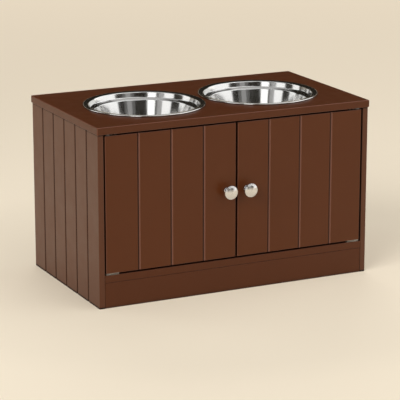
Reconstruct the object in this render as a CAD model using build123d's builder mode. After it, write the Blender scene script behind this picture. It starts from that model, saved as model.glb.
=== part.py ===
from build123d import *
import os

# Raised feeding cabinet for a dog: two lift-out steel bowls in the top, and a
# storage cupboard under them behind a pair of doors. All sizes are in millimetres.
# +Z is up, +X runs to the right of someone facing the doors, and the doors face -Y.
# The origin lies on the floor, at the middle of the whole outline, knobs included.

# ---------------------------------------------------------------- cabinet panels
top_width = 600.0
top_depth = 345.0
total_height = 362.0  # floor to the upper face of the top
top_thickness = 15.0
top_edge_radius = 2.0
side_overhang = 2.0  # of the top, past the side panels
front_overhang = 2.5
back_overhang = 2.5
side_thickness = 12.0
bottom_thickness = 15.0
plinth_height = 51.5
plinth_thickness = 12.0
back_thickness = 4.0
back_rebate_width = 6.0  # step in the side panels that the back lies in
back_floor_gap = 2.0
panel_edge_radius = 1.2  # eased edges of the painted panels

# V-grooves that divide the panels into boards
groove_width = 5.5
groove_depth = 2.5
groove_lip_radius = 1.0  # rounded edges of a groove
groove_root_radius = 0.4
side_board_count = 6
door_board_count = 4

# ---------------------------------------------------------------- doors and knobs
door_thickness = 12.0
door_side_gap = 3.0
door_centre_gap = 4.0
door_end_gap = 3.2  # above and below each door, where the hinge leaves lie
door_edge_radius = 1.5

knob_height = 208.0  # knob centre above the floor
knob_inset = 20.0  # knob centre from the free edge of its door
knob_length = 24.0
knob_head_radius = 14.3
knob_head_depth = 7.0
knob_neck_radius = 5.2
knob_base_radius = 7.0
knob_base_depth = 2.0
knob_dome = 2.4  # rise of the crowned front face
knob_edge_radius = 2.6
knob_screw_radius = 2.0
knob_screw_grip = 9.0  # thread that reaches into the knob
knob_screw_head_radius = 4.0
knob_screw_head_height = 2.4

# ---------------------------------------------------------------- pivot hinges
pivot_inset = 8.0  # hinge pin from the outer edge of the door
leaf_thickness = 1.0
leaf_width = 9.0
leaf_inner_reach = 20.0  # leaf length from the pin towards the middle
leaf_corner_radius = 1.5
leaf_screw_spots = (8.0, 16.0)  # from the pin
leaf_screw_length = 10.0
pin_radius = 2.0
pin_head_radius = 3.5
pin_head_height = 1.0
pin_grip = 6.0  # pin length inside the door
washer_radius = 4.6
running_fit = 0.05  # radial clearance of the pin in the leaves
washer_slack = 0.1  # clearance above and below the washer

# ---------------------------------------------------------------- magnetic catches
catch_centre = 36.0  # catch and strike plate from the middle of the cabinet
catch_body_width = 30.0
catch_body_depth = 16.0
catch_body_height = 16.0
catch_ear_width = 8.0
catch_ear_thickness = 3.0
catch_axis_drop = 9.5  # middle of the magnet under the top
catch_gap = 0.3  # closed strike plate to pole plates
magnet_width = 24.0
magnet_depth = 12.0
magnet_height = 5.0
pole_plate_thickness = 1.2
pole_plate_reach = 1.0  # pole plates stand out of the housing
magnet_slack = 0.15
strike_width = 36.0
strike_height = 10.0
strike_thickness = 1.2
strike_screw_length = 8.0

# ---------------------------------------------------------------- bowls
bowl_spacing = 256.4  # centre to centre
bowl_forward = 11.0  # bowl centres in front of the middle of the top
bowl_rim_radius = 122.8
bowl_rim_height = 3.6  # of the outer bead, over the top's face
bowl_rim_fall = 1.2  # from the bead in to the throat
bowl_rim_width = 10.8
bowl_throat_radius = 2.4
bowl_bead_radius = 1.7
bowl_curl_radius = 1.2
bowl_neck_taper = 2.6
bowl_neck_depth = 8.5  # straight neck, from the top's face to the step
bowl_step_width = 7.5
bowl_step_drop = 3.5
bowl_step_radius = 2.5
bowl_foot_radius = 86.0
bowl_foot_corner = 16.0
bowl_depth = 72.0  # bottom of the bowl under the top's face
bowl_wall = 0.8
bowl_seat_gap = 0.2
cutout_clearance = 1.2  # between the bowl's neck and the cut-out

# ---------------------------------------------------------------- fixings
joint_fit = 0.1  # clearance of dowels, cams and screws in their bores
dowel_radius = 3.0
dowel_length = 28.0
face_bore_depth = 8.0  # dowels and cam bolts in the face of a panel
cam_radius = 6.0
cam_height = 9.5
cam_axis_depth = 6.0  # cam bolt axis under the face that the cam is set in
cam_reach = 24.0  # cam centre from the joint
cam_recess = 0.3
cam_slack = 0.5
bolt_thread_radius = 2.5
bolt_shaft_radius = 1.8
bolt_neck_radius = 1.3
bolt_neck_length = 2.5
bolt_head_radius = 2.6
bolt_head_length = 3.6
bolt_bore_radius = 3.2
cam_inset = 74.0  # cam bolts from the front and back of the side panels
dowel_inset = 30.0
plinth_dowel_inset = 15.0  # from the lower and upper edge of the plinth

screw_radius = 1.2
screw_tip = 2.0
cross_length = 2.6  # cross recess in the screw heads
cross_width = 0.6
cross_depth = 0.6
panel_screw_length = 12.0
panel_screw_head_radius = 3.0
panel_screw_head_height = 1.6
back_screw_rows = 4  # along each side panel
back_screw_inset = 25.0  # first and last row from the cupboard's floor and ceiling
back_screw_spacing = 180.0  # along the bottom panel

bracket_leg = 22.0
bracket_width = 20.0
bracket_thickness = 2.0
bracket_centre = 120.0  # plinth brackets from the middle
bracket_screw_reach = 14.0  # screw from the corner of the bracket
bracket_screw_length = 10.0

# ---------------------------------------------------------------- derived places
knob_past_top = knob_length - front_overhang
top_front_y = (knob_past_top - top_depth) / 2
top_back_y = top_front_y + top_depth
top_middle_y = (top_front_y + top_back_y) / 2
face_y = top_front_y + front_overhang  # front plane of doors, sides and plinth
back_y = top_back_y - back_overhang
back_inner_y = back_y - back_thickness
cabinet_depth = back_y - face_y

side_outer_x = top_width / 2 - side_overhang
side_inner_x = side_outer_x - side_thickness
under_top_z = total_height - top_thickness
bottom_face_z = plinth_height + bottom_thickness

door_outer_x = side_inner_x - door_side_gap
door_inner_x = door_centre_gap / 2
door_width = door_outer_x - door_inner_x
door_bottom_z = bottom_face_z + door_end_gap
door_height = under_top_z - door_end_gap - door_bottom_z
door_back_y = face_y + door_thickness
knob_x = door_inner_x + knob_inset

pivot_x = door_outer_x - pivot_inset
pivot_y = face_y + door_thickness / 2
washer_thickness = door_end_gap - 2 * leaf_thickness - 2 * washer_slack
leaf_screw_head_radius = screw_radius + leaf_thickness  # head cone as deep as the leaf

catch_z = under_top_z - catch_axis_drop
strike_back_y = door_back_y + strike_thickness
pole_front_y = strike_back_y + catch_gap
catch_front_y = pole_front_y + pole_plate_reach
strike_screw_head_radius = screw_radius + strike_thickness

bowl_x = bowl_spacing / 2
bowl_y = top_middle_y - bowl_forward
bowl_neck_radius = bowl_rim_radius - bowl_rim_width
cutout_radius = bowl_neck_radius + bowl_wall + cutout_clearance

cam_ys = (face_y + cam_inset, back_y - cam_inset)
dowel_ys = (face_y + dowel_inset, back_y - dowel_inset)
side_joint_x = side_inner_x + cam_axis_depth  # middle of a side panel's upper edge
bottom_joint_z = plinth_height + cam_axis_depth
plinth_joint_y = face_y + plinth_thickness / 2
plinth_dowel_heights = (plinth_dowel_inset, plinth_height - plinth_dowel_inset)
back_screw_rise = (under_top_z - bottom_face_z - 2 * back_screw_inset) / (back_screw_rows - 1)
back_screw_heights = [
    bottom_face_z + back_screw_inset + back_screw_rise * row for row in range(back_screw_rows)
]
bolt_thread_depth = face_bore_depth - joint_fit
edge_bore_depth = dowel_length - face_bore_depth + joint_fit

LEFT, RIGHT = -1, 1
UP, DOWN = (0, 0, 1), (0, 0, -1)
BACKWARD = (0, 1, 0)
side_names = {LEFT: "left", RIGHT: "right"}

# ---------------------------------------------------------------- planes of the fixings
# A bolt or dowel plane lies on the drilled face of a panel and looks out of it.
top_bolt_planes = [
    Plane(origin=(side * side_joint_x, y, under_top_z), x_dir=(1, 0, 0), z_dir=DOWN)
    for side in (LEFT, RIGHT) for y in cam_ys
]
top_dowel_planes = [
    Plane(origin=(side * side_joint_x, y, under_top_z), x_dir=(1, 0, 0), z_dir=DOWN)
    for side in (LEFT, RIGHT) for y in dowel_ys
]


def side_face_planes(side, spots):
    """Planes on the inner face of a side panel, looking into the cabinet."""
    return [
        Plane(origin=(side * side_inner_x, y, z), x_dir=BACKWARD, z_dir=(-side, 0, 0))
        for y, z in spots
    ]


bottom_bolt_spots = [(y, bottom_joint_z) for y in cam_ys]
bottom_dowel_spots = [(y, bottom_joint_z) for y in dowel_ys]
plinth_dowel_spots = [(plinth_joint_y, z) for z in plinth_dowel_heights]


def upper_cam_planes(side):
    """Cam pockets in the inner face of a side panel; local X points at the bolt."""
    return [
        Plane(origin=(side * side_inner_x, y, under_top_z - cam_reach), x_dir=UP, z_dir=(-side, 0, 0))
        for y in cam_ys
    ]


def lower_cam_planes(side):
    """Cam pockets in the underside of the bottom panel."""
    return [
        Plane(origin=(side * (side_inner_x - cam_reach), y, plinth_height), x_dir=(side, 0, 0), z_dir=DOWN)
        for y in cam_ys
    ]


def cabinet_pivot(side, end):
    """Hinge plane on the cabinet, looking at the door; local X points to the middle."""
    z = under_top_z if end == "top" else bottom_face_z
    look = DOWN if end == "top" else UP
    return Plane(origin=(side * pivot_x, pivot_y, z), x_dir=(-side, 0, 0), z_dir=look)


def door_pivot(side, end):
    """The same hinge's plane on the edge of the door, looking at the cabinet."""
    facing = cabinet_pivot(side, end)
    return Plane(origin=facing.origin + facing.z_dir * door_end_gap, x_dir=facing.x_dir, z_dir=-facing.z_dir)


def strike_plane(side):
    """Plane of the strike plate's screw on the back of a door."""
    return Plane(origin=(side * catch_centre, door_back_y, catch_z), x_dir=(1, 0, 0), z_dir=BACKWARD)


def knob_screw_plane(side):
    return Plane(origin=(side * knob_x, door_back_y, knob_height), x_dir=(1, 0, 0), z_dir=BACKWARD)


back_screw_planes = [
    Plane(origin=(side * (side_outer_x - side_thickness + back_rebate_width / 2), back_y, z),
          x_dir=(1, 0, 0), z_dir=BACKWARD)
    for side in (LEFT, RIGHT) for z in back_screw_heights
] + [
    Plane(origin=(step * back_screw_spacing, back_y, plinth_height + bottom_thickness / 2),
          x_dir=(1, 0, 0), z_dir=BACKWARD)
    for step in (-1, 0, 1)
]

catch_screw_x = (catch_body_width + catch_ear_width) / 2
catch_middle_y = catch_front_y + catch_body_depth / 2
catch_screw_z = under_top_z - catch_ear_thickness
catch_screw_planes = [
    Plane(origin=(side * catch_centre + end * catch_screw_x, catch_middle_y, catch_screw_z),
          x_dir=(1, 0, 0), z_dir=DOWN)
    for side in (LEFT, RIGHT) for end in (-1, 1)
]

bracket_plinth_planes = [
    Plane(origin=(side * bracket_centre, face_y + plinth_thickness, plinth_height - bracket_screw_reach),
          x_dir=(1, 0, 0), z_dir=BACKWARD)
    for side in (LEFT, RIGHT)
]
bracket_panel_planes = [
    Plane(origin=(side * bracket_centre, face_y + plinth_thickness + bracket_screw_reach, plinth_height),
          x_dir=(1, 0, 0), z_dir=DOWN)
    for side in (LEFT, RIGHT)
]


# ---------------------------------------------------------------- fixings
def countersunk_screw(head_height, length):
    """Wood screw along -Z with a flush head cone, its upper face on z = 0."""
    head_radius = screw_radius + head_height
    with BuildPart() as screw:
        with BuildSketch(Plane.XZ):
            with BuildLine():
                Polyline(
                    (0, 0), (head_radius, 0), (screw_radius, -head_height),
                    (screw_radius, screw_tip - length), (0, -length), (0, 0),
                )
            make_face()
        revolve(axis=Axis.Z)
        with BuildSketch():
            Rectangle(cross_length, cross_width)
            Rectangle(cross_width, cross_length)
        extrude(amount=-cross_depth, mode=Mode.SUBTRACT)
    return screw.part


def pan_screw(shank_radius, length, head_radius, head_height, tip):
    """Screw along -Z whose rounded head stands on z = 0."""
    with BuildPart() as screw:
        with BuildSketch(Plane.XZ):
            with BuildLine():
                crown = (0, head_height)
                rim = (head_radius, head_height / 3)
                middle = (head_radius * 0.7, head_height * 0.8)
                ThreePointArc(crown, middle, rim)
                Polyline(
                    rim, (head_radius, 0), (shank_radius, 0),
                    (shank_radius, tip - length), (shank_radius - tip / 2, -length), (0, -length), crown,
                )
            make_face()
        revolve(axis=Axis.Z)
        with BuildSketch(Plane.XY.offset(head_height)):
            Rectangle(cross_length, cross_width)
            Rectangle(cross_width, cross_length)
        extrude(amount=-cross_depth * 1.5, mode=Mode.SUBTRACT)
    return screw.part


leaf_screw = countersunk_screw(leaf_thickness, leaf_screw_length)
strike_screw = countersunk_screw(strike_thickness, strike_screw_length)
panel_screw = pan_screw(
    screw_radius, panel_screw_length, panel_screw_head_radius, panel_screw_head_height, screw_tip
)
bracket_screw = pan_screw(
    screw_radius, bracket_screw_length, panel_screw_head_radius, panel_screw_head_height, screw_tip
)
knob_screw = pan_screw(
    knob_screw_radius, door_thickness + knob_screw_grip, knob_screw_head_radius,
    knob_screw_head_height, knob_screw_radius / 2,
)
screw_bore_radius = screw_radius + joint_fit

with BuildPart() as cam_lock:
    # barrel cam with a mouth towards the bolt, local X pointing at it
    with BuildSketch(Plane.XY.offset(-cam_height)):
        Circle(cam_radius)
    extrude(amount=cam_height - cam_recess)
    mouth_start = -(bolt_head_length / 2 + cam_slack)
    with BuildSketch(Plane.YZ.offset(mouth_start)):
        with Locations((0, -cam_axis_depth)):
            Circle(bolt_head_radius + cam_slack)
    extrude(amount=cam_radius + 1 - mouth_start, mode=Mode.SUBTRACT)
    with BuildSketch(Plane.XY.offset(-cam_recess)):
        Rectangle(cam_radius, cross_width * 2)
        Rectangle(cross_width * 2, cam_radius)
    extrude(amount=-cross_depth * 2, mode=Mode.SUBTRACT)

with BuildPart() as cam_bolt:
    # thread below z = 0, shaft and grooved head above it
    head_start = cam_reach - bolt_head_length / 2
    neck_start = head_start - bolt_neck_length
    with BuildSketch(Plane.XZ):
        with BuildLine():
            Polyline(
                (0, -bolt_thread_depth), (bolt_thread_radius, -bolt_thread_depth),
                (bolt_thread_radius, 0), (bolt_shaft_radius, 0), (bolt_shaft_radius, neck_start),
                (bolt_neck_radius, neck_start), (bolt_neck_radius, head_start),
                (bolt_head_radius, head_start), (bolt_head_radius, head_start + bolt_head_length),
                (0, head_start + bolt_head_length), (0, -bolt_thread_depth),
            )
        make_face()
    revolve(axis=Axis.Z)

with BuildPart() as dowel:
    # beech dowel with bevelled ends, 0 at the joint face
    with BuildSketch(Plane.XY.offset(joint_fit - face_bore_depth)):
        Circle(dowel_radius)
    extrude(amount=dowel_length - 2 * joint_fit)
    chamfer(dowel.edges().filter_by(GeomType.CIRCLE), dowel_radius / 4)


def drill(planes, radius, depth):
    """Blind bores into the piece being built, one straight into each plane."""
    with Locations(*planes):
        Hole(radius=radius, depth=depth)


def drill_leaf(plane):
    """Screw bores of one hinge leaf in the panel or door behind it."""
    drill(
        [Plane(origin=plane.from_local_coords((spot, 0, 0)), x_dir=plane.x_dir, z_dir=plane.z_dir)
         for spot in leaf_screw_spots],
        screw_bore_radius, leaf_screw_length - leaf_thickness + joint_fit,
    )


def save(builder, name):
    builder.part.label = name
    export_step(builder.part, f"parts/{name}.step")


os.makedirs("parts", exist_ok=True)

# ---------------------------------------------------------------- top
with BuildPart() as top_panel:
    with BuildSketch(Plane.XY.offset(under_top_z)):
        with Locations((0, top_middle_y)):
            Rectangle(top_width, top_depth)
    extrude(amount=top_thickness)
    fillet(top_panel.edges(), top_edge_radius)
    with BuildSketch(Plane.XY.offset(under_top_z)):
        with Locations((-bowl_x, bowl_y), (bowl_x, bowl_y)):
            Circle(cutout_radius)
    extrude(amount=top_thickness, mode=Mode.SUBTRACT)
    drill(top_bolt_planes, bolt_thread_radius + joint_fit, face_bore_depth)
    drill(top_dowel_planes, dowel_radius + joint_fit, face_bore_depth)
    drill(catch_screw_planes, screw_bore_radius, panel_screw_length + joint_fit)
    for side in (LEFT, RIGHT):
        drill([cabinet_pivot(side, "top")], pin_head_radius + joint_fit, pin_head_height + joint_fit)
        drill_leaf(cabinet_pivot(side, "top"))
save(top_panel, "top_panel")


# ---------------------------------------------------------------- grooves
# Section of one V-groove: the panel's face lies on y = 0 and its wood on the +Y side.
groove_margin = groove_width
with BuildSketch() as groove_section:
    with BuildLine():
        Polyline(
            (-groove_margin, -groove_depth), (-groove_margin, 0), (-groove_width / 2, 0),
            (0, groove_depth), (groove_width / 2, 0), (groove_margin, 0),
            (groove_margin, -groove_depth), close=True,
        )
    make_face()
    lips = [point for point in groove_section.vertices() if abs(abs(point.X) - groove_width / 2) < 0.01]
    root = groove_section.vertices().sort_by(Axis.Y)[-1]
    fillet(lips, groove_lip_radius)
    fillet(root, groove_root_radius)


# ---------------------------------------------------------------- sides
def side_panel(side):
    """Grooved side panel from the floor to the top, with a rebate for the back."""
    middle_x = side * (side_inner_x + side_thickness / 2)
    pitch = cabinet_depth / side_board_count
    groove_ys = [face_y + pitch * step for step in range(1, side_board_count)]
    with BuildPart() as panel:
        with BuildSketch():
            with Locations((middle_x, (face_y + back_y) / 2)):
                Rectangle(side_thickness, cabinet_depth)
        extrude(amount=under_top_z)
        front_edges = panel.faces().sort_by(Axis.Y)[0].edges().filter_by(Axis.Z)
        outer_back_edge = panel.faces().sort_by(Axis.X)[0 if side == LEFT else -1].edges().filter_by(Axis.Z)
        fillet(front_edges + [outer_back_edge.sort_by(Axis.Y)[-1]], panel_edge_radius)
        with BuildSketch():
            with Locations(*[Location((side * side_outer_x, y), side * 90) for y in groove_ys]):
                add(groove_section.sketch)
        extrude(amount=under_top_z, mode=Mode.SUBTRACT)
        with BuildSketch():
            with Locations((side * (side_inner_x + back_rebate_width / 2), back_y - back_thickness / 2)):
                Rectangle(back_rebate_width, back_thickness)
        extrude(amount=under_top_z, mode=Mode.SUBTRACT)
        edge_planes = [
            Plane(origin=(side * side_joint_x, y, under_top_z), x_dir=(1, 0, 0), z_dir=UP)
            for y in cam_ys + dowel_ys
        ]
        drill(edge_planes[:2], bolt_bore_radius, cam_reach)
        drill(edge_planes[2:], dowel_radius + joint_fit, edge_bore_depth)
        drill(upper_cam_planes(side), cam_radius + joint_fit, cam_height)
        drill(side_face_planes(side, bottom_bolt_spots), bolt_thread_radius + joint_fit, face_bore_depth)
        drill(
            side_face_planes(side, bottom_dowel_spots + plinth_dowel_spots),
            dowel_radius + joint_fit, face_bore_depth,
        )
        drill(
            [plane for plane in back_screw_planes if plane.origin.X * side > side_inner_x],
            screw_bore_radius, panel_screw_length + joint_fit,
        )
    return panel


for side in (LEFT, RIGHT):
    save(side_panel(side), f"{side_names[side]}_side_panel")

# ---------------------------------------------------------------- bottom and plinth
with BuildPart() as bottom_panel:
    with BuildSketch(Plane.XY.offset(plinth_height)):
        with Locations((0, (face_y + back_inner_y) / 2)):
            Rectangle(2 * side_inner_x, back_inner_y - face_y)
    extrude(amount=bottom_thickness)
    front = bottom_panel.faces().sort_by(Axis.Y)[0]
    fillet(front.edges().filter_by(Axis.X), panel_edge_radius)
    for side in (LEFT, RIGHT):
        end_planes = [
            Plane(origin=(side * side_inner_x, y, bottom_joint_z), x_dir=BACKWARD, z_dir=(side, 0, 0))
            for y in cam_ys + dowel_ys
        ]
        drill(end_planes[:2], bolt_bore_radius, cam_reach)
        drill(end_planes[2:], dowel_radius + joint_fit, edge_bore_depth)
        drill(lower_cam_planes(side), cam_radius + joint_fit, cam_height)
        drill([cabinet_pivot(side, "bottom")], pin_head_radius + joint_fit, pin_head_height + joint_fit)
        drill_leaf(cabinet_pivot(side, "bottom"))
    drill(bracket_panel_planes, screw_bore_radius, bracket_screw_length)
    drill(
        [plane for plane in back_screw_planes if abs(plane.origin.X) < side_inner_x],
        screw_bore_radius, panel_screw_length + joint_fit,
    )
save(bottom_panel, "bottom_panel")

with BuildPart() as plinth_board:
    with BuildSketch():
        with Locations((0, plinth_joint_y)):
            Rectangle(2 * side_inner_x, plinth_thickness)
    extrude(amount=plinth_height)
    front = plinth_board.faces().sort_by(Axis.Y)[0]
    fillet(front.edges(), panel_edge_radius)
    for side in (LEFT, RIGHT):
        drill(
            [Plane(origin=(side * side_inner_x, y, z), x_dir=BACKWARD, z_dir=(side, 0, 0))
             for y, z in plinth_dowel_spots],
            dowel_radius + joint_fit, edge_bore_depth,
        )
    drill(bracket_plinth_planes, screw_bore_radius, bracket_screw_length)
save(plinth_board, "plinth_board")

# ---------------------------------------------------------------- back
with BuildPart() as back_panel:
    # hardboard in the rebates of the side panels, screwed to them and to the bottom
    with BuildSketch(Plane.XY.offset(back_floor_gap)):
        with Locations((0, back_y - back_thickness / 2)):
            Rectangle(2 * (side_inner_x + back_rebate_width - joint_fit), back_thickness)
    extrude(amount=under_top_z - back_floor_gap)
    drill(back_screw_planes, screw_bore_radius, back_thickness)
save(back_panel, "back_panel")


# ---------------------------------------------------------------- doors
def door(side):
    """Inset door with vertical board grooves, drilled for hinges, knob and strike plate."""
    pitch = door_width / door_board_count
    groove_xs = [side * (door_inner_x + pitch * step) for step in range(1, door_board_count)]
    with BuildPart() as leaf:
        with BuildSketch(Plane.XY.offset(door_bottom_z)):
            with Locations((side * (door_inner_x + door_outer_x) / 2, face_y + door_thickness / 2)):
                Rectangle(door_width, door_thickness)
        extrude(amount=door_height)
        fillet(leaf.faces().sort_by(Axis.Y)[0].edges(), door_edge_radius)
        with BuildSketch(Plane.XY.offset(door_bottom_z)):
            with Locations(*[(x, face_y) for x in groove_xs]):
                add(groove_section.sketch)
        extrude(amount=door_height, mode=Mode.SUBTRACT)
        for end in ("top", "bottom"):
            drill([door_pivot(side, end)], pin_radius + cam_slack, pin_grip + cam_slack)
            drill_leaf(door_pivot(side, end))
        drill([knob_screw_plane(side)], knob_screw_radius + joint_fit, door_thickness)
        drill([strike_plane(side)], screw_bore_radius, strike_screw_length)
    return leaf


for side in (LEFT, RIGHT):
    save(door(side), f"{side_names[side]}_door")


# ---------------------------------------------------------------- knobs
def knob(side):
    """Mushroom knob turned from metal, tapped from the back for its screw."""
    axis_plane = Plane(origin=(side * knob_x, face_y, knob_height), x_dir=(0, -1, 0), z_dir=(1, 0, 0))
    head_start = knob_length - knob_head_depth
    crown_start = knob_length - knob_dome
    crown_radius = knob_head_radius - knob_edge_radius
    rounding = knob_edge_radius * (1 - 0.5 ** 0.5)
    with BuildPart() as turned:
        with BuildSketch(axis_plane):
            with BuildLine():
                FilletPolyline(
                    (0, 0),
                    (0, knob_base_radius),
                    (knob_base_depth, knob_base_radius),
                    (knob_base_depth * 2, knob_neck_radius),
                    (head_start * 0.75, knob_neck_radius),
                    (head_start, knob_head_radius),
                    (crown_start - knob_edge_radius, knob_head_radius),
                    radius=(0.4, 0.4, 1.0, 4.0, 1.0),
                )
                ThreePointArc(
                    (crown_start - knob_edge_radius, knob_head_radius),
                    (crown_start - rounding, knob_head_radius - rounding),
                    (crown_start, crown_radius),
                )
                TangentArc((knob_length, 0), (crown_start, crown_radius), tangent=(0, 1))
                Line((knob_length, 0), (0, 0))
            make_face()
        revolve(axis=Axis((side * knob_x, face_y, knob_height), (0, -1, 0)))
        drill(
            [Plane(origin=(side * knob_x, face_y, knob_height), x_dir=(1, 0, 0), z_dir=BACKWARD)],
            knob_screw_radius + running_fit, knob_screw_grip + cam_slack,
        )
    return turned


for side in (LEFT, RIGHT):
    save(knob(side), f"{side_names[side]}_knob")
    with BuildPart() as knob_fixing:
        with Locations(knob_screw_plane(side)):
            add(knob_screw)
    save(knob_fixing, f"{side_names[side]}_knob_screw")


# ---------------------------------------------------------------- pivot hinges
def hinge_leaf(plane):
    """Flat steel leaf lying on the plane, with a pin hole and two countersunk holes."""
    outer_reach = pivot_inset
    with BuildPart() as leaf:
        with BuildSketch(plane):
            with Locations(((leaf_inner_reach - outer_reach) / 2, 0)):
                RectangleRounded(leaf_inner_reach + outer_reach, leaf_width, leaf_corner_radius)
            Circle(pin_radius + running_fit, mode=Mode.SUBTRACT)
        extrude(amount=leaf_thickness)
        with Locations(plane.offset(leaf_thickness)):
            with Locations(*[(spot, 0, 0) for spot in leaf_screw_spots]):
                CounterSinkHole(
                    radius=screw_radius + running_fit,
                    counter_sink_radius=leaf_screw_head_radius + running_fit,
                    counter_sink_angle=90,
                )
    return leaf


def hinge_pin(plane):
    """Headed pin, head let into the cabinet panel, shank through both leaves into the door."""
    with BuildPart() as pin:
        with BuildSketch(plane.offset(-pin_head_height)):
            Circle(pin_head_radius)
        extrude(amount=pin_head_height)
        with BuildSketch(plane):
            Circle(pin_radius)
        extrude(amount=door_end_gap + pin_grip)
        chamfer(pin.faces().sort_by(plane_axis(plane))[-1].edges(), pin_radius / 4)
    return pin


def plane_axis(plane):
    """Axis through the plane's origin along its normal, to sort faces by."""
    return Axis(plane.origin, plane.z_dir)


hinge_ends = [(side, end) for side in (LEFT, RIGHT) for end in ("top", "bottom")]
for side, end in hinge_ends:
    place = f"{side_names[side]}_{end}"
    save(hinge_leaf(cabinet_pivot(side, end)), f"{place}_cabinet_leaf")
    save(hinge_leaf(door_pivot(side, end)), f"{place}_door_leaf")
    save(hinge_pin(cabinet_pivot(side, end)), f"{place}_hinge_pin")

with BuildPart() as hinge_washers:
    for side, end in hinge_ends:
        with BuildSketch(cabinet_pivot(side, end).offset(leaf_thickness + washer_slack)):
            Circle(washer_radius)
            Circle(pin_radius + running_fit, mode=Mode.SUBTRACT)
        extrude(amount=washer_thickness)
save(hinge_washers, "hinge_washers")


def leaf_screws(planes):
    """The two screws of each hinge leaf, heads flush with the leaf."""
    with BuildPart() as screws:
        for plane in planes:
            with Locations(plane.offset(leaf_thickness)):
                with Locations(*[(spot, 0, 0) for spot in leaf_screw_spots]):
                    add(leaf_screw)
    return screws


save(leaf_screws([cabinet_pivot(side, end) for side, end in hinge_ends]), "cabinet_leaf_screws")
for side in (LEFT, RIGHT):
    door_planes = [door_pivot(side, end) for end in ("top", "bottom")]
    save(leaf_screws(door_planes), f"{side_names[side]}_door_leaf_screws")


# ---------------------------------------------------------------- magnetic catches
def catch_housing(side):
    """Moulded housing under the top, open at the front for magnet and pole plates."""
    stack_height = magnet_height + 2 * pole_plate_thickness + 2 * magnet_slack
    with BuildPart() as housing:
        with BuildSketch(Plane.XY.offset(under_top_z - catch_body_height)):
            with Locations((side * catch_centre, catch_middle_y)):
                Rectangle(catch_body_width, catch_body_depth)
        extrude(amount=catch_body_height)
        fillet(housing.edges().filter_by(Axis.Z), panel_edge_radius)
        with BuildSketch(Plane.XY.offset(under_top_z - catch_ear_thickness)):
            with Locations((side * catch_centre, catch_middle_y)):
                RectangleRounded(
                    catch_body_width + 2 * catch_ear_width, catch_body_depth - 2, catch_ear_width / 3
                )
        extrude(amount=catch_ear_thickness)
        with BuildSketch(Plane.XZ.offset(-catch_front_y)):
            with Locations((side * catch_centre, catch_z)):
                Rectangle(magnet_width + 2 * magnet_slack, stack_height)
        extrude(amount=-(magnet_depth + magnet_slack), mode=Mode.SUBTRACT)
        drill(
            [plane for plane in catch_screw_planes if plane.origin.X * side > 0],
            screw_radius + joint_fit, catch_ear_thickness,
        )
    return housing


def catch_magnet(side):
    with BuildPart() as magnet:
        with BuildSketch(Plane.XZ.offset(-catch_front_y)):
            with Locations((side * catch_centre, catch_z)):
                Rectangle(magnet_width, magnet_height)
        extrude(amount=-magnet_depth)
    return magnet


def pole_plates(side):
    """Two steel plates that sandwich the magnet and stand out to meet the strike."""
    rise = (magnet_height + pole_plate_thickness) / 2
    with BuildPart() as plates:
        with BuildSketch(Plane.XZ.offset(-pole_front_y)):
            with Locations((side * catch_centre, catch_z - rise), (side * catch_centre, catch_z + rise)):
                Rectangle(magnet_width, pole_plate_thickness)
        extrude(amount=-(magnet_depth + pole_plate_reach))
    return plates


def strike_plate(side):
    """Steel strike plate on the back of a door, with one countersunk hole."""
    plane = strike_plane(side)
    with BuildPart() as plate:
        with BuildSketch(plane):
            RectangleRounded(strike_width, strike_height, leaf_corner_radius)
        extrude(amount=strike_thickness)
        with Locations(plane.offset(strike_thickness)):
            CounterSinkHole(
                radius=screw_radius + running_fit,
                counter_sink_radius=strike_screw_head_radius + running_fit,
                counter_sink_angle=90,
            )
    return plate


for side in (LEFT, RIGHT):
    name = side_names[side]
    save(catch_housing(side), f"{name}_catch_housing")
    save(catch_magnet(side), f"{name}_catch_magnet")
    save(pole_plates(side), f"{name}_catch_pole_plates")
    save(strike_plate(side), f"{name}_strike_plate")
    with BuildPart() as strike_fixing:
        with Locations(strike_plane(side).offset(strike_thickness)):
            add(strike_screw)
    save(strike_fixing, f"{name}_strike_screw")

with BuildPart() as catch_screws:
    with Locations(*catch_screw_planes):
        add(panel_screw)
save(catch_screws, "catch_screws")


# ---------------------------------------------------------------- bowls
def bowl(side):
    """Pressed steel bowl: flat foot, steep wall, step, straight neck and rolled rim."""
    plane = Plane(origin=(side * bowl_x, bowl_y, total_height), x_dir=(1, 0, 0), z_dir=(0, -1, 0))
    floor = bowl_wall - bowl_depth
    step_outer = bowl_neck_radius - bowl_neck_taper
    step_inner = step_outer - bowl_step_width
    step_bottom = -bowl_neck_depth - bowl_step_drop
    with BuildPart() as pressed:
        with BuildSketch(plane):
            with BuildLine():
                profile = FilletPolyline(
                    (0, floor),
                    (bowl_foot_radius, floor),
                    (step_inner, step_bottom),
                    (step_outer, -bowl_neck_depth),
                    (bowl_neck_radius, bowl_rim_height - bowl_rim_fall),
                    (bowl_rim_radius, bowl_rim_height),
                    (bowl_rim_radius, bowl_seat_gap),
                    (bowl_rim_radius - bowl_rim_width / 3, bowl_seat_gap),
                    radius=(
                        bowl_foot_corner, bowl_step_radius, bowl_step_radius,
                        bowl_throat_radius, bowl_bead_radius, bowl_curl_radius,
                    ),
                )
                offset(profile, amount=bowl_wall, side=Side.RIGHT)
            make_face()
        revolve(axis=Axis((side * bowl_x, bowl_y, 0), UP))
    return pressed


for side in (LEFT, RIGHT):
    save(bowl(side), f"{side_names[side]}_bowl")

# ---------------------------------------------------------------- joint fittings
with BuildPart() as cam_locks:
    for side in (LEFT, RIGHT):
        with Locations(*upper_cam_planes(side), *lower_cam_planes(side)):
            add(cam_lock.part)
save(cam_locks, "cam_locks")

with BuildPart() as cam_bolts:
    with Locations(*top_bolt_planes):
        add(cam_bolt.part)
    for side in (LEFT, RIGHT):
        with Locations(*side_face_planes(side, bottom_bolt_spots)):
            add(cam_bolt.part)
save(cam_bolts, "cam_bolts")

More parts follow.
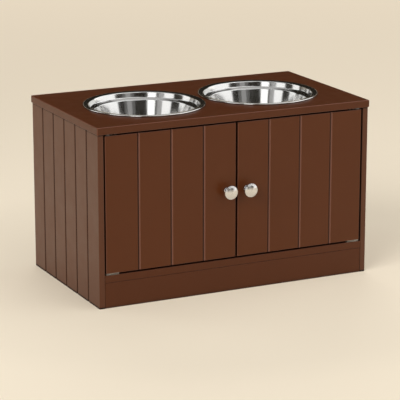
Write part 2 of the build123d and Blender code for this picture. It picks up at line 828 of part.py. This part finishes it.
with BuildPart() as dowels:
    with Locations(*top_dowel_planes):
        add(dowel.part)
    for side in (LEFT, RIGHT):
        with Locations(*side_face_planes(side, bottom_dowel_spots + plinth_dowel_spots)):
            add(dowel.part)
save(dowels, "dowels")

with BuildPart() as back_panel_screws:
    with Locations(*back_screw_planes):
        add(panel_screw)
save(back_panel_screws, "back_panel_screws")


def plinth_bracket(side):
    """Steel angle in the corner behind the plinth, under the bottom panel."""
    corner_y = face_y + plinth_thickness
    corner_x = side * bracket_centre
    with BuildPart() as angle:
        with BuildSketch(Plane.YZ.offset(corner_x - bracket_width / 2)):
            with BuildLine():
                Polyline(
                    (corner_y, plinth_height),
                    (corner_y + bracket_leg, plinth_height),
                    (corner_y + bracket_leg, plinth_height - bracket_thickness),
                    (corner_y + bracket_thickness, plinth_height - bracket_thickness),
                    (corner_y + bracket_thickness, plinth_height - bracket_leg),
                    (corner_y, plinth_height - bracket_leg),
                    close=True,
                )
            make_face()
        extrude(amount=bracket_width)
        outer = [plane.offset(bracket_thickness) for plane in bracket_plinth_planes + bracket_panel_planes]
        drill(
            [plane for plane in outer if plane.origin.X * side > 0],
            screw_bore_radius, bracket_thickness,
        )
    return angle


for side in (LEFT, RIGHT):
    save(plinth_bracket(side), f"{side_names[side]}_plinth_bracket")

with BuildPart() as plinth_bracket_screws:
    for plane in bracket_plinth_planes + bracket_panel_planes:
        with Locations(plane.offset(bracket_thickness)):
            add(bracket_screw)
save(plinth_bracket_screws, "plinth_bracket_screws")
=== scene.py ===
import math

import bmesh
import bpy
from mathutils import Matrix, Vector


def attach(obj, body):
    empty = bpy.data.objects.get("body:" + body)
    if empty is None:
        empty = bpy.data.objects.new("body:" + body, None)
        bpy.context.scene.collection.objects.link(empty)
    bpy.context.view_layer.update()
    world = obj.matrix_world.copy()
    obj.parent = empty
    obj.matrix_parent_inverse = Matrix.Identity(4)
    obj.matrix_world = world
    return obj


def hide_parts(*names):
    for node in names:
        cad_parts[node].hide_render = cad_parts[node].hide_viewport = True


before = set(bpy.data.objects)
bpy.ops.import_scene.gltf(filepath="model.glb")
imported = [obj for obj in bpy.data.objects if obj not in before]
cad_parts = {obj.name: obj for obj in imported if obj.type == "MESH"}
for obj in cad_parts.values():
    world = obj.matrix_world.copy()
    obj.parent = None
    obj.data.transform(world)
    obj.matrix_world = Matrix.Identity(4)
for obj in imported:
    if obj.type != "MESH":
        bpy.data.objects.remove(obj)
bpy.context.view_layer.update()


# Painted boards. Sides, bottom, plinth and top are fibreboard, machined, sprayed and
# rubbed down to a smooth satin brown, and held together by hidden cams and dowels.
def new_material(name, roughness, metallic=0.0):
    """A material with one Principled shader, its node tree to build on, and the shader."""
    material = bpy.data.materials.new(name)
    material.use_nodes = True
    tree = material.node_tree
    shader = tree.nodes["Principled BSDF"]
    shader.inputs["Roughness"].default_value = roughness
    shader.inputs["Metallic"].default_value = metallic
    return material, tree, shader


def noise(tree, place, scale, detail=3.0, rough=0.5):
    """A noise texture that reads the given coordinate socket."""
    texture = tree.nodes.new("ShaderNodeTexNoise")
    texture.inputs["Scale"].default_value = scale
    texture.inputs["Detail"].default_value = detail
    texture.inputs["Roughness"].default_value = rough
    tree.links.new(place, texture.inputs["Vector"])
    return texture.outputs["Fac"]


def between(tree, factor, low, high):
    """Colour from low to high while a factor socket goes from 0.3 to 0.7."""
    ramp = tree.nodes.new("ShaderNodeValToRGB")
    ramp.color_ramp.elements[0].position = 0.3
    ramp.color_ramp.elements[1].position = 0.7
    ramp.color_ramp.elements[0].color = (*low, 1.0)
    ramp.color_ramp.elements[1].color = (*high, 1.0)
    tree.links.new(factor, ramp.inputs["Fac"])
    return ramp.outputs["Color"]


def ranged(tree, factor, low, high, start=0.3, end=0.7):
    """Number from low to high while a factor socket goes from start to end."""
    spread = tree.nodes.new("ShaderNodeMapRange")
    spread.inputs["From Min"].default_value = start
    spread.inputs["From Max"].default_value = end
    spread.inputs["To Min"].default_value = low
    spread.inputs["To Max"].default_value = high
    tree.links.new(factor, spread.inputs["Value"])
    return spread.outputs["Result"]


def relief(tree, height, shader, strength, distance):
    """Bump from a height socket, up to a distance in metres, on the shader's normal."""
    bump = tree.nodes.new("ShaderNodeBump")
    bump.inputs["Strength"].default_value = strength
    bump.inputs["Distance"].default_value = distance
    tree.links.new(height, bump.inputs["Height"])
    tree.links.new(bump.outputs["Normal"], shader.inputs["Normal"])


def object_place(tree):
    """Place on the piece, in metres from its own origin."""
    return tree.nodes.new("ShaderNodeTexCoord").outputs["Object"]


def openness(tree, reach):
    """How open a spot is to its surroundings within the reach, from 0 to 1."""
    probe = tree.nodes.new("ShaderNodeAmbientOcclusion")
    probe.samples = 8
    probe.inputs["Distance"].default_value = reach
    return probe.outputs["AO"]


def worked(tree, operation, first, second):
    """A maths node on two number sockets."""
    maths = tree.nodes.new("ShaderNodeMath")
    maths.operation = operation
    tree.links.new(first, maths.inputs[0])
    tree.links.new(second, maths.inputs[1])
    return maths.outputs["Value"]


def bevel_masks(tree):
    """1 on bevels and roundings, and 1 on those of them that face the right of the piece."""
    facing = tree.nodes.new("ShaderNodeTexCoord").outputs["Normal"]
    signed = tree.nodes.new("ShaderNodeSeparateXYZ")
    plain = tree.nodes.new("ShaderNodeSeparateXYZ")
    size = tree.nodes.new("ShaderNodeVectorMath")
    size.operation = "ABSOLUTE"
    tree.links.new(facing, signed.inputs["Vector"])
    tree.links.new(facing, size.inputs[0])
    tree.links.new(size.outputs["Vector"], plain.inputs["Vector"])
    largest = worked(tree, "MAXIMUM", plain.outputs["X"], plain.outputs["Y"])
    largest = worked(tree, "MAXIMUM", largest, plain.outputs["Z"])
    bevels = ranged(tree, largest, 1.0, 0.0, start=0.78, end=0.9)
    rightward = ranged(tree, signed.outputs["X"], 0.0, 1.0, start=0.2, end=0.5)
    return bevels, worked(tree, "MINIMUM", bevels, rightward)


def mixed(tree, kind, factor, first, second):
    """A colour socket blended with a plain colour by a factor socket."""
    mix = tree.nodes.new("ShaderNodeMix")
    mix.data_type = "RGBA"
    mix.blend_type = kind
    tree.links.new(factor, mix.inputs["Factor"])
    tree.links.new(first, mix.inputs["A"])
    mix.inputs["B"].default_value = (*second, 1.0)
    return mix.outputs["Result"]


# Painted shade: the paint is multiplied towards this dark colour in crevices, grooves, gaps and
# under overhangs.
painted_crevice_shade = (0.12, 0.1, 0.09)


def satin_paint(
    name, light, dark, gloss, roughness=0.40, edge_highlight=None, right_bevel_shade=None,
    shade_reach=0.012, shade_deep=0.2, shade_edge=0.85,
):
    """Sprayed satin paint: faintly cloudy, with orange peel, painted highlights and painted shade.

    The bevel colour, if given, is a painted highlight on the bevels, and the colour after it
    a painted shade on the bevels that face right. Painted shade also darkens crevices, gaps
    and grooves: fully where their openness within the reach is at the deepest value given,
    fading out at the edge value.
    """
    material, tree, shader = new_material(name, roughness)
    shader.inputs["Specular IOR Level"].default_value = gloss
    place = object_place(tree)
    colour = between(tree, noise(tree, place, scale=9.0, detail=4.0), dark, light)
    # Painted shade: darkest where the surroundings close in, fading out where the piece is open.
    crevice_shade_mask = ranged(tree, openness(tree, shade_reach), 1.0, 0.0, shade_deep, shade_edge)
    dulled = crevice_shade_mask
    if edge_highlight:
        # Painted highlight: bevels and roundings take a lighter colour, for the light they catch.
        bevels, right_bevels = bevel_masks(tree)
        colour = mixed(tree, "MIX", bevels, colour, edge_highlight)
        # Painted shade: bevels and groove flanks that face the right of the piece, away from the
        # light, go near-black.
        if right_bevel_shade:
            colour = mixed(tree, "MIX", right_bevels, colour, right_bevel_shade)
            dulled = worked(tree, "MAXIMUM", dulled, right_bevels)
    colour = mixed(tree, "MULTIPLY", crevice_shade_mask, colour, painted_crevice_shade)
    tree.links.new(colour, shader.inputs["Base Color"])
    patches = noise(tree, place, scale=35.0, detail=2.0)
    satin = ranged(tree, patches, roughness - 0.03, roughness + 0.03)
    tree.links.new(worked(tree, "MAXIMUM", satin, dulled), shader.inputs["Roughness"])
    peel = noise(tree, place, scale=900.0, detail=2.0, rough=0.6)
    relief(tree, peel, shader, strength=0.1, distance=0.0003)
    return material


def finish(material, *names):
    """Gives CAD pieces a material."""
    for name in names:
        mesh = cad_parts[name].data
        mesh.materials.clear()
        mesh.materials.append(material)


board_paint = satin_paint(
    "brown_board_paint", light=(0.092, 0.0225, 0.0036), dark=(0.086, 0.0205, 0.003), gloss=0.5,
    shade_reach=0.005, shade_deep=0.8, shade_edge=0.97,
)
# Painted shade: the top gets a darker copy of the brown paint, for the weaker light on it and the
# dark room it faces.
shaded_top_paint = satin_paint(
    "shaded_brown_top_paint", light=(0.088, 0.0205, 0.0027), dark=(0.082, 0.0187, 0.0022), gloss=0.34,
    # Painted highlight: a lighter colour on the top's bevels.
    edge_highlight=(0.20, 0.082, 0.052),
)
# Painted shade: the bottom and plinth get a darker copy of the brown paint, for the shade low down
# by the floor.
shaded_base_paint = satin_paint(
    "shaded_brown_base_paint", light=(0.087, 0.0208, 0.0034), dark=(0.081, 0.019, 0.0028), gloss=0.32,
)
finish(board_paint, "left_side_panel", "right_side_panel")
finish(shaded_base_paint, "bottom_panel", "plinth_board")
finish(shaded_top_paint, "top_panel")

# Back. Thin hardboard in the rebates of the sides, painted on the outside like the
# rest but duller, and fixed with small pan-head screws.
back_paint = satin_paint(
    "brown_back_paint", light=(0.090, 0.024, 0.0065), dark=(0.078, 0.020, 0.0055), gloss=0.32,
    roughness=0.52,
)
finish(back_paint, "back_panel")


def plated_steel(name, colour, roughness, grain):
    """Plated or cast metal with a faint mottle and fine scratches, or near-black steel as painted
    shade.
    """
    material, tree, shader = new_material(name, roughness, metallic=1.0)
    place = object_place(tree)
    mottle = noise(tree, place, scale=60.0)
    dull = tuple(channel * 0.86 for channel in colour)
    tree.links.new(between(tree, mottle, dull, colour), shader.inputs["Base Color"])
    scratches = noise(tree, place, grain, detail=2.0, rough=0.7)
    worn = ranged(tree, scratches, roughness * 0.8, roughness * 1.25)
    tree.links.new(worn, shader.inputs["Roughness"])
    relief(tree, scratches, shader, strength=0.1, distance=0.0001)
    return material


screw_steel = plated_steel("zinc_plated_steel", (0.52, 0.51, 0.49), roughness=0.34, grain=1400.0)
finish(screw_steel, "back_panel_screws")

# Joint fittings. Zinc cams in the panels draw steel bolts tight, beech dowels line the
# panels up, and two steel angles hold the plinth.
cast_zinc = plated_steel("cast_zinc", (0.5, 0.5, 0.5), roughness=0.45, grain=700.0)
finish(cast_zinc, "cam_locks")
finish(screw_steel, "cam_bolts")
finish(screw_steel, "left_plinth_bracket", "right_plinth_bracket", "plinth_bracket_screws")


def beech_wood():
    """Bare beech with short dark flecks along the grain."""
    material, tree, shader = new_material("bare_beech", 0.6)
    fleck = noise(tree, object_place(tree), scale=400.0, detail=4.0)
    wood = between(tree, fleck, (0.40, 0.25, 0.13), (0.55, 0.37, 0.21))
    tree.links.new(wood, shader.inputs["Base Color"])
    return material


finish(beech_wood(), "dowels")

# Doors. Two inset doors of the same fibreboard, each grooved into four boards and sprayed
# satin brown. They hang on pivots in the cabinet and leave a narrow gap all round.
door_paint = satin_paint(
    "brown_door_paint", light=(0.097, 0.0235, 0.0034), dark=(0.091, 0.0215, 0.0028), gloss=0.32,
    # Painted highlight on the door bevels, and painted shade on the bevels that face right.
    edge_highlight=(0.19, 0.078, 0.05), right_bevel_shade=(0.012, 0.003, 0.001), shade_edge=0.78,
)
finish(door_paint, "left_door", "right_door")

# Pivot hinges. Stamped steel leaves screwed to the door edges and the cabinet, each
# pair turning on a headed pin with a nylon washer between; the upper ones are near-black,
# as painted shade for the shade under the top.
hinge_steel = plated_steel(
    "passivated_hinge_steel", (0.40, 0.39, 0.37), roughness=0.40, grain=1400.0,
)
# Painted shade: near-black steel on the upper hinge leaves, for the shade under the top.
shade_dark_steel = plated_steel(
    "shade_dark_hinge_steel", (0.035, 0.03, 0.027), roughness=0.55, grain=1400.0,
)
for end, steel in (("top", shade_dark_steel), ("bottom", hinge_steel)):
    for side in ("left", "right"):
        for piece in ("cabinet_leaf", "door_leaf", "hinge_pin"):
            finish(steel, f"{side}_{end}_{piece}")
finish(screw_steel, "cabinet_leaf_screws", "left_door_leaf_screws", "right_door_leaf_screws")


def moulded_plastic(name, light, dark, roughness):
    """Injection moulded plastic with a fine spark-eroded texture."""
    material, tree, shader = new_material(name, roughness)
    place = object_place(tree)
    flow = noise(tree, place, scale=120.0)
    tree.links.new(between(tree, flow, dark, light), shader.inputs["Base Color"])
    texture = noise(tree, place, scale=2500.0, detail=1.0)
    relief(tree, texture, shader, strength=0.25, distance=0.0002)
    return material


nylon = moulded_plastic(
    "grey_nylon", light=(0.30, 0.295, 0.28), dark=(0.26, 0.255, 0.24), roughness=0.45,
)
finish(nylon, "hinge_washers")


# Knobs. Mushroom knobs turned with a slim neck, a flared head and a low crown, polished
# and nickel plated, each held by a machine screw through the door.
def turned_metal(name, colour, roughness, smear, grain):
    """Metal polished on a lathe: faint haze, and reflections drawn out across the marks."""
    material, tree, shader = new_material(name, roughness, metallic=1.0)
    shader.inputs["Anisotropic"].default_value = grain
    shader.inputs["Anisotropic Rotation"].default_value = 0.25
    marks = tree.nodes.new("ShaderNodeTangent")
    marks.direction_type = "RADIAL"
    marks.axis = "Z"
    tree.links.new(marks.outputs["Tangent"], shader.inputs["Tangent"])
    haze = noise(tree, object_place(tree), smear)
    soft = tuple(channel * 0.96 for channel in colour)
    tree.links.new(between(tree, haze, soft, colour), shader.inputs["Base Color"])
    polish = ranged(tree, haze, roughness * 0.85, roughness * 1.2)
    tree.links.new(polish, shader.inputs["Roughness"])
    return material


def rounded_path(points, radii, steps):
    """Outline through the points in millimetres, with its inner corners rounded."""
    flat = 0.15  # a short straight on both sides of each rounding keeps the flats flat
    path = [Vector(points[0])]
    for before, corner, after, radius in zip(points, points[1:], points[2:], radii):
        corner = Vector(corner)
        back = (Vector(before) - corner).normalized()
        onward = (Vector(after) - corner).normalized()
        half = back.angle(onward) / 2
        middle = corner + (back + onward).normalized() * (radius / math.sin(half))
        start = corner + back * (radius / math.tan(half)) - middle
        end = corner + onward * (radius / math.tan(half)) - middle
        first = math.atan2(start.y, start.x)
        sweep = math.remainder(math.atan2(end.y, end.x) - first, 2 * math.pi)
        path.append(middle + start + back * flat)
        for step in range(steps + 1):
            angle = first + sweep * step / steps
            path.append(middle + radius * Vector((math.cos(angle), math.sin(angle))))
        path.append(middle + end + onward * flat)
    path.append(Vector(points[-1]))
    return path


def turned(name, path, around, foot, axis, material):
    """Solid of revolution round an axis from foot: path holds (radius, rise) in millimetres."""
    mesh = bmesh.new()
    rings = []
    for radius, rise in path:
        ring = []
        for step in range(around if radius > 0.001 else 1):
            turn = 2 * math.pi * step / around
            spot = (radius * math.cos(turn) / 1000, radius * math.sin(turn) / 1000, rise / 1000)
            ring.append(mesh.verts.new(spot))
        rings.append(ring)
    for first, second in zip(rings, rings[1:]):
        for step in range(around):
            after = (step + 1) % around
            corners = dict.fromkeys((
                first[step % len(first)], first[after % len(first)],
                second[after % len(second)], second[step % len(second)],
            ))
            mesh.faces.new(tuple(corners)).smooth = True
    bmesh.ops.recalc_face_normals(mesh, faces=mesh.faces)
    data = bpy.data.meshes.new(name)
    mesh.to_mesh(data)
    mesh.free()
    data.materials.append(material)
    piece = bpy.data.objects.new(name, data)
    bpy.context.collection.objects.link(piece)
    piece.location = foot
    piece.rotation_euler = Vector(axis).to_track_quat("Z", "Y").to_euler()
    return piece


nickel = turned_metal(
    "polished_nickel", (0.745, 0.745, 0.745), roughness=0.21, smear=40.0, grain=0.85,
)
screw_hole, knob_foot, knob_neck, knob_head, crown_edge = 2.2, 7, 5.2, 14.3, 11.7
knob_length, crown_rise = 24, 2.4
knob_sides = rounded_path(
    [
        (0, 10), (screw_hole, 10), (screw_hole, 0), (knob_foot, 0), (knob_foot, 2),
        (knob_neck, 4), (knob_neck, 12.75), (knob_head, 17), (knob_head, 21.6), (crown_edge, 21.6),
    ],
    (0.1, 0.1, 0.4, 0.4, 1.0, 4.0, 1.0, 2.59), steps=8,
)
crown_radius = (crown_edge ** 2 + crown_rise ** 2) / (2 * crown_rise)
crown = [
    Vector((spot, knob_length - crown_radius + math.sqrt(crown_radius ** 2 - spot ** 2)))
    for spot in (11.5, 10, 8.5, 7, 5.5, 4, 2.5, 1, 0)
]
knob_from_middle, door_face, knob_height = 0.022, -0.15925, 0.208
for side, x in (("left", -knob_from_middle), ("right", knob_from_middle)):
    knob = turned(
        f"{side}_turned_knob", knob_sides[:-1] + crown, around=96,
        foot=(x, door_face, knob_height), axis=(0, -1, 0), material=nickel,
    )
    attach(knob, f"{side}_door_body")
    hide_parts(f"{side}_knob")
finish(screw_steel, "left_knob_screw", "right_knob_screw")

# Magnetic catches. Brown moulded housings under the top with a ferrite magnet between
# two steel plates, and a steel strike plate on the back of each door.
catch_plastic = moulded_plastic(
    "brown_catch_plastic", light=(0.075, 0.033, 0.02), dark=(0.06, 0.026, 0.016), roughness=0.5,
)
ferrite = moulded_plastic(
    "dark_ferrite", light=(0.035, 0.035, 0.037), dark=(0.022, 0.022, 0.024), roughness=0.6,
)
for side in ("left", "right"):
    finish(catch_plastic, f"{side}_catch_housing")
    finish(ferrite, f"{side}_catch_magnet")
    finish(screw_steel, f"{side}_catch_pole_plates", f"{side}_strike_plate", f"{side}_strike_screw")
finish(screw_steel, "catch_screws")

# Bowls. Pressed stainless steel, polished round and round, with a steep wall, a step, a
# straight neck and a rolled rim that hangs on the edge of the cut-out.
bowl_steel = turned_metal(
    "polished_stainless_steel", (0.80, 0.795, 0.78), roughness=0.15, smear=18.0, grain=0.7,
)
bowl_depth, rim_radius, rim_height, lip_radius, lip_height = -71.2, 122.8, 3.6, 119.2, 0.2
bowl_face = rounded_path(
    [
        (0, bowl_depth), (86, bowl_depth), (101.9, -12), (109.4, -8.5), (112, 2.4),
        (rim_radius, rim_height), (rim_radius, lip_height), (lip_radius, lip_height),
    ],
    (16, 2.5, 2.5, 2.4, 1.7, 1.2), steps=10,
)
sheet_thickness = 0.8
bowl_back = []
befores, afters = bowl_face[:1] + bowl_face, bowl_face[1:] + bowl_face[-1:]
for before, spot, after in zip(befores, bowl_face, afters):
    along = (after - before).normalized()
    bowl_back.append(spot + sheet_thickness * Vector((along.y, -along.x)))
bowl_from_middle, bowl_row, top_face = 0.1282, -0.00025, 0.362
for side, x in (("left", -bowl_from_middle), ("right", bowl_from_middle)):
    bowl = turned(
        f"{side}_pressed_bowl", bowl_face + bowl_back[::-1], around=192,
        foot=(x, bowl_row, top_face), axis=(0, 0, 1), material=bowl_steel,
    )
    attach(bowl, f"{side}_bowl_body")
    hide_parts(f"{side}_bowl")


# Studio floor. A wide pale floor for the cabinet to stand on. Away from the cabinet its
# own glow takes over from the lamps, so that it stays even as far as the eye reaches.
def seen_by_eye_and_gloss(tree):
    """1 where a ray comes from the eye, or by way of a glossy or clear surface."""
    light_path = tree.nodes.new("ShaderNodeLightPath")
    seen = light_path.outputs["Is Camera Ray"]
    for ray in ("Is Glossy Ray", "Is Transmission Ray"):
        seen = worked(tree, "MAXIMUM", seen, light_path.outputs[ray])
    return seen


floor_reach = 40
pale_floor, far_floor = (0.78, 0.69, 0.55), (0.03, 0.03, 0.03)
warm_white = (1.0, 0.86, 0.66, 1.0)
floor_mesh = bpy.data.meshes.new("floor")
floor_mesh.from_pydata(
    [
        (-floor_reach, -floor_reach, 0), (floor_reach, -floor_reach, 0),
        (floor_reach, floor_reach, 0), (-floor_reach, floor_reach, 0),
    ],
    [], [(0, 1, 2, 3)],
)
floor = bpy.data.objects.new("floor", floor_mesh)
bpy.context.collection.objects.link(floor)
floor_paint, tree, shader = new_material("floor", 0.8)
shader.inputs["Specular IOR Level"].default_value = 0.0
shader.inputs["Emission Color"].default_value = warm_white
far = tree.nodes.new("ShaderNodeVectorMath")
far.operation = "LENGTH"
tree.links.new(object_place(tree), far.inputs[0])
fading = ranged(tree, far.outputs["Value"], 0.3, 0.7, start=0.7, end=4.0)
tree.links.new(between(tree, fading, pale_floor, far_floor), shader.inputs["Base Color"])
rising = ranged(tree, far.outputs["Value"], 0.15, 0.84, start=0.6, end=4.2)
lift = worked(tree, "MULTIPLY", seen_by_eye_and_gloss(tree), rising)
tree.links.new(lift, shader.inputs["Emission Strength"])
floor_mesh.materials.append(floor_paint)


# Studio lights. Three far soft fill lamps give the general level. Soft boxes round the
# cabinet and overhead are mirrored in the bowls and knobs, and give the paint its sheen.
def softbox(name, bearing, rise, distance, width, height, radiance, mirrored=True):
    """Soft light that faces the cabinet, with its size and distance in metres.

    bearing runs from the front to the left and rise up from level, both in degrees.
    """
    turn, tilt = math.radians(bearing), math.radians(rise)
    place = distance * Vector((
        -math.sin(turn) * math.cos(tilt), -math.cos(turn) * math.cos(tilt), math.sin(tilt),
    ))
    light = bpy.data.lights.new(name, "AREA")
    light.shape = "RECTANGLE"
    light.size, light.size_y = width, height
    light.energy = math.pi * width * height * radiance
    lamp = bpy.data.objects.new(name, light)
    bpy.context.collection.objects.link(lamp)
    lamp.location = place + Vector((0, 0, 0.3))
    lamp.rotation_euler = (-place).to_track_quat("-Z", "Y").to_euler()
    lamp.visible_camera = False
    lamp.visible_glossy = mirrored


softbox("left_fill", 62, 27, 12.0, 7.6, 7.6, 4.2, mirrored=False)
softbox("front_fill", -15, 20, 12.0, 7.6, 7.6, 0.8, mirrored=False)
softbox("back_fill", -160, 22, 12.0, 7.6, 7.6, 3.0, mirrored=False)
softbox("front_left_box", 43, 22, 3.3, 1.0, 2.6, 1.5)
softbox("left_box", 80, 22, 3.3, 1.3, 2.6, 1.15)
softbox("back_left_box", 125, 22, 1.5, 0.55, 1.2, 1.1)
softbox("right_box", -73, 28, 3.3, 4.3, 3.6, 1.15)
softbox("front_wall", -9, 18, 3.6, 1.7, 2.6, 0.11)
softbox("front_strip", -9, 18, 3.5, 0.7, 2.6, 0.2)
softbox("side_strip", 62, 22, 3.4, 0.6, 2.6, 0.4)
softbox("front_high_box", -12, 46, 3.6, 2.8, 1.5, 1.1)
softbox("overhead_box", 0, 90, 3.1, 4.0, 4.0, 0.55)

# Studio room. A dark room, which the painted top mirrors, above a low pale wall that
# carries on the colour of the floor at the horizon.
wall_strength, room_strength = 0.82, 0.02
world = bpy.data.worlds.new("studio_world")
bpy.context.scene.world = world
world.use_nodes = True
tree = world.node_tree
room = tree.nodes["Background"]
room.inputs["Color"].default_value = warm_white
height = tree.nodes.new("ShaderNodeSeparateXYZ")
tree.links.new(tree.nodes.new("ShaderNodeTexCoord").outputs["Generated"], height.inputs["Vector"])
low_wall = ranged(tree, height.outputs["Z"], wall_strength, 0.0, start=0.03, end=0.08)
glow = tree.nodes.new("ShaderNodeMath")
glow.operation = "ADD"
glow.inputs[1].default_value = room_strength
tree.links.new(worked(tree, "MULTIPLY", seen_by_eye_and_gloss(tree), low_wall), glow.inputs[0])
tree.links.new(glow.outputs["Value"], room.inputs["Strength"])

# Camera. A long lens on a stand at the front left, a little above the top and tilted
# down at the middle of the cabinet.
camera_tilt, camera_turn = 14.7, 26.0
lens_data = bpy.data.cameras.new("camera")
lens_data.lens = 178.5
lens_data.sensor_width = 36.0
camera = bpy.data.objects.new("camera", lens_data)
bpy.context.collection.objects.link(camera)
camera.location = (-1.7353, -3.5505, 1.1855)
camera.rotation_euler = (math.radians(90 - camera_tilt), 0.0, math.radians(-camera_turn))
bpy.context.scene.camera = camera
bpy.context.scene.view_settings.view_transform = "Standard"
